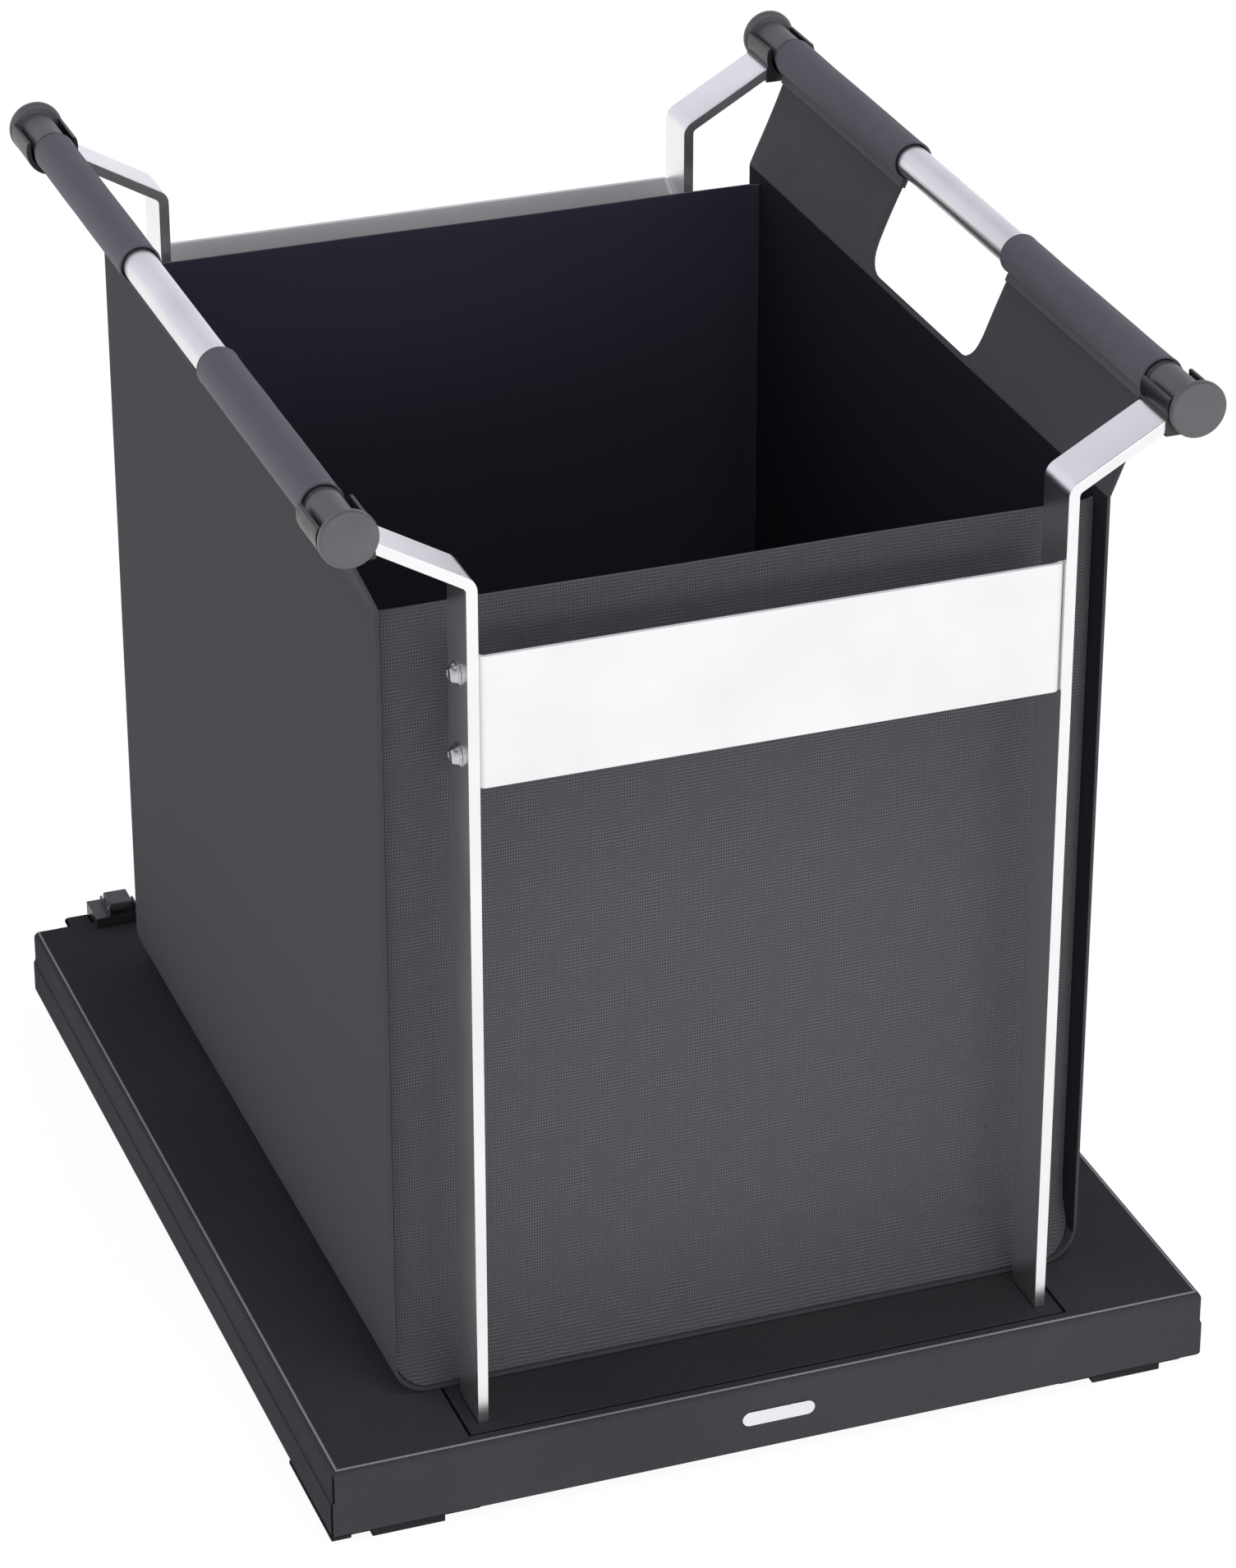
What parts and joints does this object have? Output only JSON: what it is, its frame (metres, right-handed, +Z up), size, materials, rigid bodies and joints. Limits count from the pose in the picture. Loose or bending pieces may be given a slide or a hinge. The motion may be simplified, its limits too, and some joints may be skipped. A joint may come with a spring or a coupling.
{
  "type": "pull-out waste bag frame",
  "caption": "Pull-out frame for a base cabinet: a low tray on ball-bearing slides carries bent bar posts with cradles, and a lift-out fabric bag hangs in them by its handle tubes.",
  "frame": {"origin": "centre of the footprint, on the cabinet floor under the feet", "axes": "+X to the right seen from the front, -Y towards the front where the tray pulls out, +Z up"},
  "size_m": [0.41, 0.5146, 0.481],
  "materials": {
    "tray_paint": "satin anthracite",
    "frame_steel": "satin black",
    "bar_metal": "satin",
    "band_metal": "fine satin",
    "bright_fastener": "bright",
    "zinc_steel": "zinc plated",
    "badge_metal": "satin",
    "cradle_plastic": "fine grain",
    "tube_metal": "satin",
    "plug_plastic": "fine grain",
    "bag_cloth": "coarse plain weave",
    "sleeve_cloth": "fine plain weave",
    "bumper_rubber": "matte",
    "cage_plastic": "natural nylon cage",
    "lever_plastic": "smooth"
  },
  "bodies": {
    "floor_frame": {"floor_foot_front_left": "frame_steel", "floor_foot_front_right": "frame_steel", "floor_foot_rear_left": "frame_steel", "floor_foot_rear_right": "frame_steel", "front_tie": "frame_steel", "rear_tie": "frame_steel", "closing_bumpers": "bumper_rubber", "floor_rail_left": "zinc_steel", "floor_rail_right": "zinc_steel"},
    "tray": {"base_tray": "tray_paint", "front_cover": "tray_paint", "rear_cover": "tray_paint", "front_cross_member": "frame_steel", "rear_cross_member": "frame_steel", "post_front_left": "bar_metal", "post_front_right": "bar_metal", "post_rear_left": "bar_metal", "post_rear_right": "bar_metal", "front_band": "band_metal", "rear_band": "band_metal", "front_band_screws": "bright_fastener", "rear_band_screws": "bright_fastener", "front_band_nuts": "bright_fastener", "rear_band_nuts": "bright_fastener", "post_foot_screws": "zinc_steel", "front_badge": "badge_metal", "cradle_front_left": "cradle_plastic", "cradle_front_right": "cradle_plastic", "cradle_rear_left": "cradle_plastic", "cradle_rear_right": "cradle_plastic", "cradle_screws": "cradle_plastic", "tray_rail_left": "zinc_steel", "tray_rail_right": "zinc_steel", "rail_hanger_left": "zinc_steel", "rail_hanger_right": "zinc_steel", "slide_rivets": "zinc_steel", "catch_left": "cradle_plastic", "catch_right": "cradle_plastic", "lever_pins": "zinc_steel"},
    "bag": {"bag_side_left": "bag_cloth", "bag_side_right": "bag_cloth", "bag_flap_left": "sleeve_cloth", "bag_flap_right": "sleeve_cloth", "bag_bottom": "bag_cloth", "bag_front_panel": "bag_cloth", "bag_back_panel": "bag_cloth"},
    "handle_left": {"tube_left": "tube_metal", "plug_front_left": "plug_plastic", "plug_rear_left": "plug_plastic"},
    "handle_right": {"tube_right": "tube_metal", "plug_front_right": "plug_plastic", "plug_rear_right": "plug_plastic"},
    "middle_slide_left": {"mid_rail_left": "zinc_steel"},
    "outer_balls_left": {"outer_cage_left": "cage_plastic"},
    "inner_balls_left": {"inner_cage_left": "cage_plastic"},
    "lock_lever_left": {"lever_left": "lever_plastic"},
    "middle_slide_right": {"mid_rail_right": "zinc_steel"},
    "outer_balls_right": {"outer_cage_right": "cage_plastic"},
    "inner_balls_right": {"inner_cage_right": "cage_plastic"},
    "lock_lever_right": {"lever_right": "lever_plastic"}
  },
  "joints": [
    {"name": "tray_pull_out", "type": "slide", "parent": "floor_frame", "child": "tray", "axis": [0, -1, 0], "range_m": [0, 0.43]},
    {"name": "middle_slide_left_travel", "type": "slide", "parent": "floor_frame", "child": "middle_slide_left", "axis": [0, -1, 0], "range_m": [0, 0.215]},
    {"name": "outer_balls_left_travel", "type": "slide", "parent": "floor_frame", "child": "outer_balls_left", "axis": [0, -1, 0], "range_m": [0, 0.1075]},
    {"name": "inner_balls_left_travel", "type": "slide", "parent": "floor_frame", "child": "inner_balls_left", "axis": [0, -1, 0], "range_m": [0, 0.3225]},
    {"name": "lock_lever_left_lift", "type": "hinge", "parent": "tray", "child": "lock_lever_left", "pos_m": [-0.159, 0.2413, 0.0469], "axis": [1, 0, 0], "range_deg": [0, 35]},
    {"name": "middle_slide_right_travel", "type": "slide", "parent": "floor_frame", "child": "middle_slide_right", "axis": [0, -1, 0], "range_m": [0, 0.215]},
    {"name": "outer_balls_right_travel", "type": "slide", "parent": "floor_frame", "child": "outer_balls_right", "axis": [0, -1, 0], "range_m": [0, 0.1075]},
    {"name": "inner_balls_right_travel", "type": "slide", "parent": "floor_frame", "child": "inner_balls_right", "axis": [0, -1, 0], "range_m": [0, 0.3225]},
    {"name": "lock_lever_right_lift", "type": "hinge", "parent": "tray", "child": "lock_lever_right", "pos_m": [0.159, 0.2413, 0.0469], "axis": [1, 0, 0], "range_deg": [0, 35]},
    {"name": "bag_lift_out", "type": "slide", "parent": "tray", "child": "bag", "axis": [0, 0, 1], "range_m": [0, 0.45]},
    {"name": "handle_left_turn", "type": "hinge", "parent": "bag", "child": "handle_left", "pos_m": [-0.183, -0.0057, 0.4685], "axis": [0, 1, 0], "continuous": true},
    {"name": "handle_right_turn", "type": "hinge", "parent": "bag", "child": "handle_right", "pos_m": [0.183, -0.0057, 0.4685], "axis": [0, 1, 0], "continuous": true}
  ],
  "couplings": [
    {"joint": "middle_slide_left_travel", "follows": "tray_pull_out", "ratio": 0.5},
    {"joint": "outer_balls_left_travel", "follows": "tray_pull_out", "ratio": 0.25},
    {"joint": "inner_balls_left_travel", "follows": "tray_pull_out", "ratio": 0.75},
    {"joint": "middle_slide_right_travel", "follows": "tray_pull_out", "ratio": 0.5},
    {"joint": "outer_balls_right_travel", "follows": "tray_pull_out", "ratio": 0.25},
    {"joint": "inner_balls_right_travel", "follows": "tray_pull_out", "ratio": 0.75}
  ]
}
